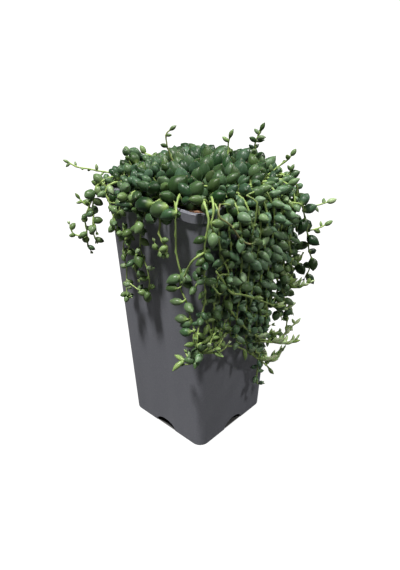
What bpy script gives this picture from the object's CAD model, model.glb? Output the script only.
"""Looks of a string-of-pearls succulent that spills from a tall square nursery pot.

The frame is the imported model's: metres, Z up, the pot on Z = 0 with its axis on Z and its faces square to
X and Y. Lengths in the tables are millimetres. A heading is an angle round that axis, in degrees: 0 is the
+X face, -90 the -Y face and -45 the corner between them.

The pot, the potting mix and the bark are built in their own classes. The plant is one class: it lays every
stem, grows leaves on each where there is room, and covers the mound with a canopy of larger leaves.
"""

import itertools
import logging
import math
import random
from collections.abc import Iterator, Sequence
from dataclasses import dataclass, field, replace
from enum import Enum

import bmesh
import bpy
import numpy as np
from bmesh.types import BMEdge, BMesh, BMFace, BMVert
from bpy.types import Material, Node, NodeSocket, Object
from mathutils import Matrix, Vector, geometry, noise


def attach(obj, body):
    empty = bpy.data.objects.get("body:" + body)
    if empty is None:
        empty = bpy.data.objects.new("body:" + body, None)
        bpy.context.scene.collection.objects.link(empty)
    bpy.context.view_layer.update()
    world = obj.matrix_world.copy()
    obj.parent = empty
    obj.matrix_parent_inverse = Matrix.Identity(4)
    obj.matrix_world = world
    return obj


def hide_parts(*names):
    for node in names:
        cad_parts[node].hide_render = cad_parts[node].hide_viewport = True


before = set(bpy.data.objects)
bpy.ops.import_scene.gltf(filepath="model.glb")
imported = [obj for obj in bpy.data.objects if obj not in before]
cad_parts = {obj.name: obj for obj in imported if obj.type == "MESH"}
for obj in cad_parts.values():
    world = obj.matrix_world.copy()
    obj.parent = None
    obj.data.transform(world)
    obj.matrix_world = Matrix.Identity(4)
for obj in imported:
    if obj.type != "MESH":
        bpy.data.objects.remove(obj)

Colour = tuple[float, float, float]
Four = tuple[float, float, float, float]

MM = 0.001
UP = Vector((0, 0, 1))
LOOK = "growth"
TURN = "turn"
BAKE_MAP = "OFBake"
NOISE_SEED = 1
GOLDEN_ANGLE = 137.5
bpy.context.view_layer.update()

log = logging.getLogger("string_of_pearls")


# ---------------------------------------------------------------- the pot's plan, shared by all the pieces

POT_HEIGHT = 150 * MM
TOP_WIDTH = 70 * MM
FOOT_WIDTH = 59 * MM
COLLAR_PROUD = 1.2 * MM
WALL = 1.2 * MM
MIX_TOP = 145 * MM
MIX_BUMP = 0.8 * MM
CORNER_POWER = 9


def heading_vector(heading: float) -> Vector:
    """The level direction of a heading in degrees."""
    angle = math.radians(heading)
    return Vector((math.cos(angle), math.sin(angle), 0))


def pot_half_width(height: float) -> float:
    """Half the outer width of the pot's wall at a height."""
    return (FOOT_WIDTH + (TOP_WIDTH - FOOT_WIDTH) * height / POT_HEIGHT) / 2


def square_reach(point: Vector) -> float:
    """Half the width of the round-cornered square, centred on the axis, that passes through a point."""
    return (abs(point.x) ** CORNER_POWER + abs(point.y) ** CORNER_POWER) ** (1 / CORNER_POWER)


def outward(point: Vector) -> Vector:
    """The level direction square to that round-cornered square."""
    slope = CORNER_POWER - 1
    scale = square_reach(point)
    x = math.copysign(abs(point.x / scale) ** slope, point.x)
    y = math.copysign(abs(point.y / scale) ** slope, point.y)
    return Vector((x, y, 0)).normalized()


def rim_point(heading: float) -> Vector:
    """The point of the collar's outer edge under a heading."""
    direction = heading_vector(heading)
    return direction * (TOP_WIDTH / 2 + COLLAR_PROUD) / square_reach(direction)


def has_room(point: Vector, radius: float) -> bool:
    """Whether a ball is clear of the pot and of the potting mix.

    Args:
        point: The ball's centre.
        radius: Its radius.

    Returns:
        True if it touches neither.
    """
    reach = square_reach(point)
    above = point.z > POT_HEIGHT + radius
    outside = reach > pot_half_width(min(point.z, POT_HEIGHT)) + COLLAR_PROUD + radius
    inside = reach < pot_half_width(point.z) - 2 * WALL - radius
    return outside or (inside or above) and point.z > MIX_TOP + MIX_BUMP + radius


# ---------------------------------------------------------------- finishes


class Recipe:
    """A material's nodes, added one by one and joined to its Principled shader."""

    def __init__(self, name: str) -> None:
        """Start a material that holds only a Principled shader."""
        self.material = bpy.data.materials.new(name)
        self.material.use_nodes = True
        self.tree = self.material.node_tree
        self.shader = self.tree.nodes["Principled BSDF"]
        self.place = self.tree.nodes.new("ShaderNodeTexCoord").outputs["Object"]

    def fill(self, node: Node, inputs: dict[str | int, object]) -> None:
        """Fill a node's inputs, each by its name or its place, from a socket or with a value."""
        for key, value in inputs.items():
            if isinstance(value, NodeSocket):
                self.tree.links.new(value, node.inputs[key])
            else:
                node.inputs[key].default_value = value

    def node(self, kind: str, inputs: dict[str | int, object], **settings: str) -> Node:
        """Add a node.

        Args:
            kind: Its type, without the words that all such types start with.
            inputs: What fills its inputs.
            settings: Its own properties.

        Returns:
            The node.
        """
        node = self.tree.nodes.new(f"ShaderNode{kind}")
        for name, value in settings.items():
            setattr(node, name, value)
        self.fill(node, inputs)
        return node

    def noise(self, scale: float, detail: float = 2, stretch: Sequence[float] = (1, 1, 1)) -> NodeSocket:
        """Noise fixed to the piece.

        Args:
            scale: Its repeats in a metre.
            detail: Octaves of finer noise.
            stretch: How many times as often it repeats along each axis.

        Returns:
            The noise's value, from 0 to 1.
        """
        place = self.node("Mapping", {"Vector": self.place, "Scale": stretch}).outputs["Vector"]
        return self.node("TexNoise", {"Vector": place, "Scale": scale, "Detail": detail}).outputs["Fac"]

    def cells(self, scale: float) -> NodeSocket:
        """The distance from the middle of the nearest of many small cells, fixed to the piece."""
        return self.node("TexVoronoi", {"Vector": self.place, "Scale": scale}).outputs["Distance"]

    def look(self) -> list[NodeSocket]:
        """The four channels of the piece's growth attribute."""
        attribute = self.node("Attribute", {}, attribute_name=LOOK)
        split = self.node("SeparateColor", {"Color": attribute.outputs["Color"]})
        return [*split.outputs, attribute.outputs["Alpha"]]

    def spread(self, value: NodeSocket, low: float, high: float, first: float = 0, last: float = 1) -> NodeSocket:
        """A value mapped smoothly from one range to another, and held at its ends.

        Args:
            value: What to map.
            low: Where the first range starts.
            high: Where it ends.
            first: What low becomes.
            last: What high becomes.

        Returns:
            The mapped value.
        """
        ends = {"Value": value, "From Min": low, "From Max": high, "To Min": first, "To Max": last}
        return self.node("MapRange", ends, interpolation_type="SMOOTHSTEP").outputs["Result"]

    def product(self, first: NodeSocket, second: NodeSocket) -> NodeSocket:
        """Two values multiplied."""
        return self.node("Math", {0: first, 1: second}, operation="MULTIPLY").outputs["Value"]

    def mix(self, share: NodeSocket, first: NodeSocket | Colour, second: NodeSocket | Colour) -> NodeSocket:
        """Two colours mixed.

        Args:
            share: How much of the second shows.
            first: One colour.
            second: The other.

        Returns:
            The mixed colour.
        """
        node = self.node("Mix", {"Factor": share}, data_type="RGBA")
        for name, colour in (("A", first), ("B", second)):
            number = next(n for n, item in enumerate(node.inputs) if item.name == name and item.type == "RGBA")
            self.fill(node, {number: colour if isinstance(colour, NodeSocket) else (*colour, 1)})
        return next(item for item in node.outputs if item.type == "RGBA")

    def bump(self, height: NodeSocket, depth: float, strength: float = 1) -> NodeSocket:
        """The normals of a surface roughened by a height, where 1 stands depth metres proud of 0."""
        return self.node("Bump", {"Height": height, "Distance": depth, "Strength": strength}).outputs["Normal"]

    def finish(self, **inputs: object) -> Material:
        """Fill the shader's inputs, named with _ for a space, and give the material."""
        self.fill(self.shader, {name.replace("_", " "): value for name, value in inputs.items()})
        return self.material


@dataclass(frozen=True)
class LeafSkin:
    """The waxy skin of a leaf: deep green, greyer under its bloom, lime where it is young or joins its stalk."""

    deep: Colour = (0.0047, 0.0205, 0.0067)
    fresh: Colour = (0.0165, 0.0560, 0.0120)
    lime: Colour = (0.300, 0.430, 0.130)
    bloom: Colour = (0.120, 0.214, 0.135)
    pale: Colour = (0.700, 0.840, 0.480)
    tip: Colour = (0.110, 0.085, 0.040)
    roughness: tuple[float, float] = (0.33, 0.47)
    pore_depth: float = 0.05 * MM

    def material(self) -> Material:
        """The leaf material."""
        recipe = Recipe("leaf_skin")
        lime, bloom, along, tone = recipe.look()
        mottle = recipe.noise(260, 3)
        colour = recipe.mix(tone, self.deep, self.fresh)
        colour = recipe.mix(recipe.spread(recipe.noise(120), 0.35, 0.7, 0, 0.35), colour, self.fresh)
        dusty = recipe.product(bloom, recipe.spread(mottle, 0.3, 0.65, 0.55, 1))
        colour = recipe.mix(dusty, colour, self.bloom)
        young = recipe.mix(recipe.spread(tone, 0.6, 1), self.lime, self.pale)
        colour = recipe.mix(lime, colour, young)
        colour = recipe.mix(recipe.spread(along, 0, 0.22, 0.7, 0), colour, self.lime)
        colour = recipe.mix(recipe.spread(along, 0.93, 1.0, 0, 0.8), colour, self.tip)
        return recipe.finish(
            Base_Color=colour,
            Roughness=recipe.spread(mottle, 0.3, 0.7, *self.roughness),
            Normal=recipe.bump(recipe.noise(900), self.pore_depth, 0.5),
            Subsurface_Weight=0.12,
            Subsurface_Scale=1.2 * MM,
            Subsurface_Radius=(0.5, 1.0, 0.25),
            IOR=1.45,
            Specular_IOR_Level=0.36,
            Coat_Weight=0.04,
            Coat_Roughness=0.22,
            Sheen_Weight=0.06,
            Sheen_Tint=(0.6, 1, 0.65, 1),
        )


@dataclass(frozen=True)
class StemSkin:
    """The skin of a stem: lime and smooth when young, dull brown and lightly ridged when old."""

    lime: Colour = (0.360, 0.480, 0.150)
    green: Colour = (0.120, 0.210, 0.055)
    brown: Colour = (0.200, 0.135, 0.080)
    roughness: tuple[float, float] = (0.36, 0.6)
    ridge_depth: float = 0.12 * MM

    def material(self) -> Material:
        """The stem material."""
        recipe = Recipe("stem_skin")
        green, old, _, _ = recipe.look()
        streaks = recipe.noise(420, 3, (1, 1, 0.25))
        colour = recipe.mix(green, self.lime, self.green)
        colour = recipe.mix(recipe.spread(streaks, 0.4, 0.75, 0, 0.4), colour, self.green)
        colour = recipe.mix(recipe.product(old, recipe.spread(streaks, 0.25, 0.6, 0.6, 1)), colour, self.brown)
        return recipe.finish(
            Base_Color=colour,
            Roughness=recipe.spread(streaks, 0.3, 0.7, *self.roughness),
            Normal=recipe.bump(streaks, self.ridge_depth, 0.6),
            Subsurface_Weight=0.1,
            Subsurface_Scale=0.8 * MM,
            Subsurface_Radius=(0.6, 1.0, 0.3),
            IOR=1.42,
        )


@dataclass(frozen=True)
class PotPlastic:
    """Thin recycled plastic, satin charcoal, with faint drawn streaks, handling marks and a little dust."""

    base: Colour = (0.166, 0.171, 0.200)
    worn: Colour = (0.212, 0.217, 0.246)
    dust: Colour = (0.170, 0.160, 0.145)
    roughness: tuple[float, float] = (0.34, 0.5)
    grain_depth: float = 0.05 * MM

    def material(self) -> Material:
        """The plastic's material."""
        recipe = Recipe("pot_plastic")
        streaks = recipe.noise(150, 3, (1, 1, 0.03))
        clouds = recipe.noise(28, 4)
        marks = recipe.noise(700, 4, (1, 1, 0.2))
        colour = recipe.mix(recipe.spread(streaks, 0.35, 0.7, 0, 0.35), self.base, self.worn)
        colour = recipe.mix(recipe.spread(recipe.noise(1300, 3), 0.4, 0.7, 0, 0.6), colour, self.worn)
        colour = recipe.mix(recipe.spread(clouds, 0.5, 0.75, 0, 0.25), colour, self.worn)
        colour = recipe.mix(recipe.spread(marks, 0.66, 0.8, 0, 0.35), colour, self.dust)
        return recipe.finish(
            Base_Color=colour,
            Roughness=recipe.spread(streaks, 0.3, 0.7, *self.roughness),
            Normal=recipe.bump(recipe.noise(2600), self.grain_depth, 0.4),
            IOR=1.48,
        )


@dataclass(frozen=True)
class MixFinish:
    """Damp potting mix: dark peat flecked with paler coir."""

    peat: Colour = (0.030, 0.018, 0.011)
    coir: Colour = (0.210, 0.095, 0.045)
    roughness: tuple[float, float] = (0.75, 0.98)
    lump_depth: float = 0.5 * MM

    def material(self) -> Material:
        """The mix's material."""
        recipe = Recipe("potting_mix")
        lumps = recipe.noise(500, 5)
        fibre = recipe.noise(900, 3, (1, 0.3, 1))
        colour = recipe.mix(recipe.spread(lumps, 0.42, 0.68, 0, 0.55), self.peat, self.coir)
        colour = recipe.mix(recipe.spread(fibre, 0.6, 0.72, 0, 0.8), colour, self.coir)
        return recipe.finish(
            Base_Color=colour,
            Roughness=recipe.spread(lumps, 0.3, 0.7, *self.roughness),
            Normal=recipe.bump(lumps, self.lump_depth),
        )


@dataclass(frozen=True)
class BarkFinish:
    """Composted bark: reddish brown layers with darker cracks."""

    heart: Colour = (0.290, 0.145, 0.080)
    crust: Colour = (0.130, 0.058, 0.030)
    roughness: tuple[float, float] = (0.65, 0.92)
    crack_depth: float = 0.35 * MM

    def material(self) -> Material:
        """The bark's material."""
        recipe = Recipe("bark")
        layers = recipe.noise(420, 4, (0.35, 1, 2))
        colour = recipe.mix(recipe.spread(layers, 0.35, 0.65), self.heart, self.crust)
        colour = recipe.mix(recipe.spread(recipe.cells(900), 0, 0.25, 0.7, 0), colour, self.crust)
        return recipe.finish(
            Base_Color=colour,
            Roughness=recipe.spread(layers, 0.3, 0.7, *self.roughness),
            Normal=recipe.bump(layers, self.crack_depth),
        )


@dataclass(frozen=True)
class FloorFinish:
    """The plain pale floor of the studio, which looks white, but for the dark under the pot, and yet sends
    little light up."""

    colour: Colour = (0.06, 0.06, 0.06)
    cloudy: Colour = (0.07, 0.07, 0.07)
    glow: float = 0.96
    footprint: float = FOOT_WIDTH / 2

    def material(self) -> Material:
        """The floor's material."""
        recipe = Recipe("studio_floor")
        seen = recipe.node("LightPath", {}).outputs["Is Camera Ray"]
        clear = recipe.spread(self.reach(recipe), 0.85, 1, 0, self.glow)
        return recipe.finish(
            Base_Color=recipe.mix(recipe.spread(recipe.noise(3), 0.3, 0.7, 0, 0.2), self.colour, self.cloudy),
            Roughness=0.9,
            Emission_Color=(1, 1, 1, 1),
            Emission_Strength=recipe.product(seen, clear),
        )

    def reach(self, recipe: Recipe) -> NodeSocket:
        """How far out a place is, to the 8th power, where the edge of the pot's round-cornered foot is 1."""
        scaled = {0: recipe.place, "Scale": 1 / self.footprint}
        power = recipe.node("VectorMath", scaled, operation="SCALE").outputs["Vector"]
        for _ in range(2):
            power = recipe.node("VectorMath", {0: power, 1: power}, operation="MULTIPLY").outputs["Vector"]
        return recipe.node("VectorMath", {0: power, 1: power}, operation="DOT_PRODUCT").outputs["Value"]


# ---------------------------------------------------------------- making pieces


def add_piece(name: str, bm: BMesh, finish: Material, smooth: bool = True) -> Object:
    """Make an object from a bmesh, which is freed.

    Args:
        name: The piece's name.
        bm: Its mesh, in the frame's own place.
        finish: Its material.
        smooth: Whether its faces are shaded smooth.

    Returns:
        The object, at the origin.
    """
    bmesh.ops.recalc_face_normals(bm, faces=bm.faces)
    for face in bm.faces:
        face.smooth = smooth
    mesh = bpy.data.meshes.new(name)
    bm.to_mesh(mesh)
    bm.free()
    mesh.materials.append(finish)
    piece = bpy.data.objects.new(name, mesh)
    bpy.context.scene.collection.objects.link(piece)
    return piece


def settle_piece(piece: Object, slot: str, *nodes: str) -> None:
    """Fix a piece to the pot's body, in place of CAD nodes and with a slot's finish."""
    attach(piece, "root")
    if nodes:
        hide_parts(*nodes)
    log.info("%s: %d faces", piece.name, len(piece.data.polygons))


def extrude_ring(bm: BMesh, edges: Sequence[BMEdge]) -> tuple[list[BMVert], list[BMEdge]]:
    """Extrude the edges of a ring.

    Args:
        bm: The mesh.
        edges: The edges.

    Returns:
        The new ring's corners and its edges, still in the old ring's place.
    """
    made = bmesh.ops.extrude_edge_only(bm, edges=edges)["geom"]
    verts = [item for item in made if isinstance(item, BMVert)]
    new = set(verts)
    return verts, [item for item in made if isinstance(item, BMEdge) and new.issuperset(item.verts)]


@dataclass
class SquareRing:
    """One level ring of a round-cornered square tube while it is being drawn."""

    bm: BMesh
    half: float
    corner: float
    height: float
    steps: int = 6
    verts: list[BMVert] = field(default_factory=list)
    edges: list[BMEdge] = field(default_factory=list)

    def start(self) -> None:
        """Draw the first ring, with a face across it."""
        made = bmesh.ops.create_circle(self.bm, cap_ends=True, segments=4, radius=self.half * math.sqrt(2))
        bmesh.ops.rotate(self.bm, matrix=Matrix.Rotation(math.pi / 4, 3, "Z"), verts=made["verts"])
        bmesh.ops.bevel(
            self.bm, geom=made["verts"], offset=self.corner, segments=self.steps, profile=0.5, affect="VERTICES",
            material=-1,
        )
        self.verts, self.edges = self.bm.verts[:], self.bm.edges[:]
        for vert in self.verts:
            vert.co.z = self.height

    def reshape(self, half: float, corner: float, height: float) -> None:
        """Move the ring to a new width, corner radius and height."""
        middle = self.half - self.corner
        for vert in self.verts:
            sign = Vector((math.copysign(1, vert.co.x), math.copysign(1, vert.co.y), 0))
            round_part = (vert.co - sign * middle).to_2d().to_3d() / self.corner
            vert.co = sign * (half - corner) + round_part * corner + UP * height
        self.half, self.corner, self.height = half, corner, height

    def draw_to(self, half: float, corner: float, height: float) -> None:
        """Extrude the ring to a new width, corner radius and height."""
        self.verts, self.edges = extrude_ring(self.bm, self.edges)
        self.reshape(half, corner, height)

    def close(self) -> None:
        """Put a face across the ring."""
        bmesh.ops.contextual_create(self.bm, geom=self.edges)


@dataclass
class Pot:
    """The nursery pot: a thin tapered shell with a collar, a raised floor, a notched skirt and a drain hole."""

    corner: float = 6 * MM
    collar_corner: float = 8 * MM
    collar_height: float = 5 * MM
    rim_edge: float = 0.4 * MM
    floor_underside: float = 3 * MM
    notch_width: float = 16 * MM
    notch_height: float = 5.2 * MM
    notch_depth: float = 12 * MM
    drain_radius: float = 6 * MM
    edge_width: float = 0.35 * MM

    def shell(self) -> BMesh:
        """The wall, collar and floor, drawn as one closed profile from under the floor to its upper side."""
        bm = bmesh.new()
        inner = self.corner - WALL
        floor_top = self.floor_underside + WALL
        collar = TOP_WIDTH / 2 + COLLAR_PROUD
        under_collar = POT_HEIGHT - self.collar_height
        ring = SquareRing(bm, pot_half_width(0) - WALL, inner, self.floor_underside)
        ring.start()
        ring.draw_to(pot_half_width(0) - WALL, inner, 0)
        ring.draw_to(pot_half_width(0), self.corner, 0)
        for share in (0.25, 0.5, 0.75, 1):
            ring.draw_to(pot_half_width(under_collar * share), self.corner, under_collar * share)
        ring.draw_to(collar - self.rim_edge, self.collar_corner, under_collar)
        ring.draw_to(collar, self.collar_corner, under_collar + self.rim_edge)
        ring.draw_to(collar, self.collar_corner, POT_HEIGHT - self.rim_edge)
        ring.draw_to(collar - self.rim_edge, self.collar_corner, POT_HEIGHT)
        ring.draw_to(TOP_WIDTH / 2 - WALL + self.rim_edge, inner + WALL, POT_HEIGHT)
        ring.draw_to(TOP_WIDTH / 2 - WALL, inner, POT_HEIGHT - self.rim_edge)
        for share in (0.75, 0.5, 0.25, 0):
            height = floor_top + (POT_HEIGHT - self.rim_edge - floor_top) * share
            ring.draw_to(pot_half_width(height) - WALL, inner, height)
        ring.close()
        return bm

    def cutter(self, name: str, bm: BMesh) -> Object:
        """A hidden object that only cuts the pot."""
        bmesh.ops.recalc_face_normals(bm, faces=bm.faces)
        mesh = bpy.data.meshes.new(name)
        bm.to_mesh(mesh)
        bm.free()
        return bpy.data.objects.new(name, mesh)

    def notch(self, side: int) -> Object:
        """The low arch that is cut from one side of the foot."""
        bm = bmesh.new()
        radius = self.notch_width / 2
        bmesh.ops.create_cone(bm, cap_ends=True, segments=32, radius1=radius, radius2=radius, depth=self.notch_depth)
        lie_down = Matrix.Rotation(math.pi / 2, 4, "Y")
        flatten = Matrix.Diagonal((1, 1, self.notch_height / radius, 1))
        place = Matrix.Rotation(side * math.pi / 2, 4, "Z") @ Matrix.Translation((FOOT_WIDTH / 2, 0, 0))
        bmesh.ops.transform(bm, matrix=place @ flatten @ lie_down, verts=bm.verts)
        return self.cutter(f"notch_{side}", bm)

    def drain(self) -> Object:
        """The round hole that is cut from the floor."""
        bm = bmesh.new()
        radius = self.drain_radius
        bmesh.ops.create_cone(bm, cap_ends=True, segments=40, radius1=radius, radius2=radius, depth=12 * MM)
        return self.cutter("drain", bm)

    def build(self) -> None:
        """Build the pot, cut its openings, soften its edges and dress it."""
        pot = add_piece("nursery_pot", self.shell(), PotPlastic().material())
        for cutter in [self.notch(side) for side in range(4)] + [self.drain()]:
            bpy.context.scene.collection.objects.link(cutter)
            cut = pot.modifiers.new(cutter.name, "BOOLEAN")
            cut.operation, cut.solver, cut.object = "DIFFERENCE", "EXACT", cutter
            bpy.context.view_layer.update()
            shape = bpy.data.meshes.new_from_object(pot.evaluated_get(bpy.context.evaluated_depsgraph_get()))
            pot.modifiers.remove(cut)
            pot.data = shape
            bpy.data.objects.remove(cutter)
        pot.data.name = pot.name
        soften = pot.modifiers.new("softened_edges", "BEVEL")
        soften.width, soften.segments = self.edge_width, 2
        soften.limit_method, soften.angle_limit = "ANGLE", math.radians(40)
        level = pot.modifiers.new("even_shading", "WEIGHTED_NORMAL")
        level.keep_sharp = True
        settle_piece(pot, "pot_plastic", "pot")


@dataclass
class PottingMix:
    """The mix that fills the pot: a lumpy top with crumbs on it, over a plain block."""

    low: float = 4.5 * MM
    gap: float = 0.3 * MM
    corner: float = 4.8 * MM
    cuts: int = 26
    lump: float = 1.3 * MM
    crumbs: int = 260
    crumb_size: tuple[float, float] = (0.5 * MM, 1.6 * MM)
    reach: float = 31 * MM
    seed: int = 11

    def block(self) -> BMesh:
        """The fill, its top raised and sunk by noise."""
        bm = bmesh.new()
        under_top = MIX_TOP - 2 * MM
        ring = SquareRing(bm, pot_half_width(self.low) - WALL - self.gap, self.corner, self.low)
        ring.start()
        ring.draw_to(pot_half_width(MIX_TOP) - WALL - self.gap, self.corner, MIX_TOP - 1 * MM)
        ring.close()
        for axis in (Vector((1, 0, 0)), Vector((0, 1, 0))):
            for cut in range(self.cuts):
                offset = (2 * (cut + 0.5) / self.cuts - 1) * self.reach
                top = [face for face in bm.faces if face.normal.z > 0.9 or face.calc_center_median().z > under_top]
                edges = dict.fromkeys(edge for face in top for edge in face.edges)
                verts = dict.fromkeys(vert for face in top for vert in face.verts)
                bmesh.ops.bisect_plane(bm, geom=[*top, *edges, *verts], plane_co=axis * offset, plane_no=axis)
        for vert in bm.verts:
            if vert.co.z > under_top and square_reach(vert.co) < self.reach:
                vert.co.z += self.lump * noise.fractal(vert.co / (5 * MM), 0.7, 2, 3)
        return bm

    def strew(self, bm: BMesh, rng: random.Random) -> None:
        """Scatter crumbs over the top."""
        for _ in range(self.crumbs):
            size = rng.uniform(*self.crumb_size)
            x, y = (rng.uniform(-self.reach, self.reach) for _ in range(2))
            made = bmesh.ops.create_icosphere(bm, subdivisions=1, radius=size)["verts"]
            for vert in made:
                vert.co += noise.noise_vector(vert.co / size + Vector((x, y, size)) * 900) * size * 0.5
            shape = Matrix.Diagonal((rng.uniform(0.7, 1.6), rng.uniform(0.6, 1), rng.uniform(0.4, 0.8), 1))
            turn = Matrix.Rotation(rng.uniform(0, math.tau), 4, "Z")
            place = Matrix.Translation((x, y, MIX_TOP - 0.4 * MM + size * 0.3))
            bmesh.ops.transform(bm, matrix=place @ turn @ shape, verts=made)

    def build(self) -> None:
        """Build and dress the mix."""
        bm = self.block()
        self.strew(bm, random.Random(self.seed))
        settle_piece(add_piece("potting_mix_fill", bm, MixFinish().material()), "potting_mix", "potting_mix")


@dataclass
class BarkChips:
    """Chips of composted bark that lie on the mix near the wall."""

    places: tuple[tuple[float, float, float], ...] = ((6, -30, 8), (26, -26, 45), (30, 8, 98))
    size: Vector = field(default_factory=lambda: Vector((8, 4, 1.8)) * MM)
    layers: int = 5

    def chip(self, number: int) -> BMesh:
        """One chip: a block worn uneven, its ends split along the layers."""
        bm = bmesh.new()
        bmesh.ops.create_cube(bm, size=1)
        bmesh.ops.subdivide_edges(bm, edges=bm.edges, cuts=self.layers, use_grid_fill=True)
        seed = Vector((number * 3.7, number, 0))
        for vert in bm.verts:
            split = noise.noise(Vector((0, vert.co.y * 5, vert.co.z * 9)) + seed) * abs(vert.co.x) * 0.55
            push = Vector((math.copysign(split, vert.co.x), 0, 0))
            vert.co += noise.noise_vector(vert.co * 2.2 + seed) * 0.16 + push
            vert.co.z += noise.noise(vert.co * 6 + seed) * 0.12
        x, y, heading = self.places[number]
        level = MIX_TOP + MIX_BUMP + 0.75 * self.size.z
        place = Matrix.Translation((x * MM, y * MM, level)) @ Matrix.Rotation(math.radians(heading), 4, "Z")
        bmesh.ops.transform(bm, matrix=place @ Matrix.Diagonal((*self.size, 1)), verts=bm.verts)
        return bm

    def build(self) -> None:
        """Build and dress the chips."""
        finish = BarkFinish().material()
        for number in range(len(self.places)):
            piece = add_piece(f"bark_flake_{number + 1}", self.chip(number), finish)
            settle_piece(piece, "bark", f"bark_chip_{number + 1}")


# ---------------------------------------------------------------- tissue: round, tapering shapes


class LeafShape(Enum):
    """A leaf's outline, as rings from stalk to tip: the share of its length, and the share of its width."""

    TEAR = (
        (0.0, 0.14), (0.07, 0.36), (0.19, 0.76), (0.36, 0.98), (0.54, 0.98), (0.71, 0.77), (0.85, 0.45), (0.94, 0.16),
    )
    BEAD = (
        (0.0, 0.14), (0.06, 0.4), (0.17, 0.8), (0.35, 1.0), (0.56, 0.99), (0.74, 0.79), (0.87, 0.47), (0.95, 0.16),
    )
    SPEAR = ((0.0, 0.3), (0.12, 0.55), (0.3, 0.88), (0.5, 1.0), (0.7, 0.8), (0.86, 0.42), (0.95, 0.15))


@dataclass(frozen=True)
class Growth:
    """How a stretch of tissue looks, each from 0 to 1. On a leaf these are how lime, how bloomed and how fresh
    it is. On a stem they are how green and how old."""

    first: float = 0
    second: float = 0
    tone: float = 0.5


@dataclass(frozen=True)
class Cell:
    """A rectangle of the bake map: its low corner, width and height."""

    x: float
    y: float
    width: float
    height: float


@dataclass(frozen=True)
class Leaf:
    """One leaf: where it joins its stem, where it points, its size, its outline, its bend and its looks."""

    base: Vector
    direction: Vector
    length: float
    width: float
    shape: LeafShape
    bend: Vector
    growth: Growth

    def line(self) -> list[Vector]:
        """The points on its middle line at which its rings stand, and its tip."""
        shares = [share for share, _ in self.shape.value] + [1]
        arch = [math.sin(math.pi * share) for share in shares]
        return [
            self.base + self.direction * self.length * share + self.bend * rise for share, rise in zip(shares, arch)
        ]

    def radii(self) -> list[float]:
        """The radius at each of those rings."""
        return [self.width / 2 * share for _, share in self.shape.value]


@dataclass(frozen=True)
class Stem:
    """One stretch of stem: its line, its radius at each point, and its looks from root to tip."""

    line: list[Vector]
    radii: list[float]
    root: Growth
    tip: Growth


def carried_frames(line: Sequence[Vector]) -> Iterator[Matrix]:
    """A matrix at each point of a line, its Z along the line, none twisted against the one before."""
    turn = (line[1] - line[0]).to_track_quat("Z", "Y")
    for before, point, after in zip([line[0], *line], line, [*line[1:], line[-1]]):
        along = (after - before).normalized()
        turn = (turn @ UP).rotation_difference(along) @ turn
        yield Matrix.Translation(point) @ turn.to_matrix().to_4x4()


class Tissue:
    """A mesh of round tapering shapes, each drawn ring by ring along a line and closed at its tip."""

    def __init__(self, sides: int) -> None:
        """Start an empty mesh whose rings have that many sides."""
        self.sides = sides
        self.bm = bmesh.new()
        self.look = self.bm.verts.layers.float_color.new(LOOK)
        self.turn = self.bm.verts.layers.float.new(TURN)
        self.uv = self.bm.loops.layers.uv.new(BAKE_MAP)

    def draw(self, line: Sequence[Vector], radii: Sequence[float], looks: Sequence[Growth], cell: Cell) -> None:
        """Draw one shape.

        Args:
            line: Its middle line, with the tip as one more point than there are rings.
            radii: The radius of each ring.
            looks: The looks at each ring.
            cell: Where its skin lies on the bake map.
        """
        frames = list(carried_frames(line))
        lengths = list(itertools.accumulate((b - a).length for a, b in zip(line, line[1:])))
        shares = [0] + [length / lengths[-1] for length in lengths]
        faces = set()
        ring = bmesh.ops.create_circle(
            self.bm, cap_ends=True, segments=self.sides, radius=radii[0], matrix=frames[0]
        )["verts"]
        for number, vert in enumerate(ring):
            vert[self.turn] = number / self.sides
        self.paint(ring, looks[0], 0, faces)
        edges = list(dict.fromkeys(edge for vert in ring for edge in vert.link_edges))
        for index in range(1, len(radii)):
            ring, edges = extrude_ring(self.bm, edges)
            size = Matrix.Scale(radii[index] / radii[index - 1], 4)
            step = frames[index] @ size @ frames[index - 1].inverted()
            bmesh.ops.transform(self.bm, matrix=step, verts=ring)
            self.paint(ring, looks[index], shares[index], faces)
        ring, _ = extrude_ring(self.bm, edges)
        self.paint(ring, looks[-1], 1, faces)
        self.unwrap(faces, cell)
        bmesh.ops.pointmerge(self.bm, verts=ring, merge_co=line[-1])

    def paint(self, ring: list[BMVert], growth: Growth, along: float, faces: set[BMFace]) -> None:
        """Give a ring its looks.

        Args:
            ring: Its corners.
            growth: The looks.
            along: Its share of the shape's length.
            faces: The shape's faces, which gain the ring's.
        """
        for vert in ring:
            vert[self.look] = (growth.first, growth.second, along, growth.tone)
            faces.update(vert.link_faces)

    def unwrap(self, faces: set[BMFace], cell: Cell, margin: float = 0.03) -> None:
        """Lay a shape's faces in its cell of the bake map, length across and girth up, clear of its edge."""
        for face in faces:
            turns = [loop.vert[self.turn] for loop in face.loops]
            wraps = max(turns) - min(turns) > 0.5 and len(turns) < 5
            for loop, turn in zip(face.loops, turns):
                girth = turn + (1 if wraps and turn < 0.5 else 0)
                along = loop.vert[self.look][2]
                loop[self.uv].uv = (
                    cell.x + cell.width * (margin + along * (1 - 2 * margin)),
                    cell.y + cell.height * (margin + girth * (1 - 2 * margin)),
                )

    def finished(self) -> BMesh:
        """The mesh, without the layer that only guided the unwrapping."""
        self.bm.verts.layers.float.remove(self.turn)
        return self.bm


def leaf_mesh(leaves: Sequence[Leaf], sides: int = 8) -> BMesh:
    """The mesh of some leaves, each with its own square of the bake map."""
    tissue = Tissue(sides)
    across = math.ceil(math.sqrt(len(leaves)))
    for number, leaf in enumerate(leaves):
        cell = Cell(number % across / across, number // across / across, 1 / across, 1 / across)
        radii = leaf.radii()
        tissue.draw(leaf.line(), radii, [leaf.growth] * len(radii), cell)
    return tissue.finished()


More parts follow.
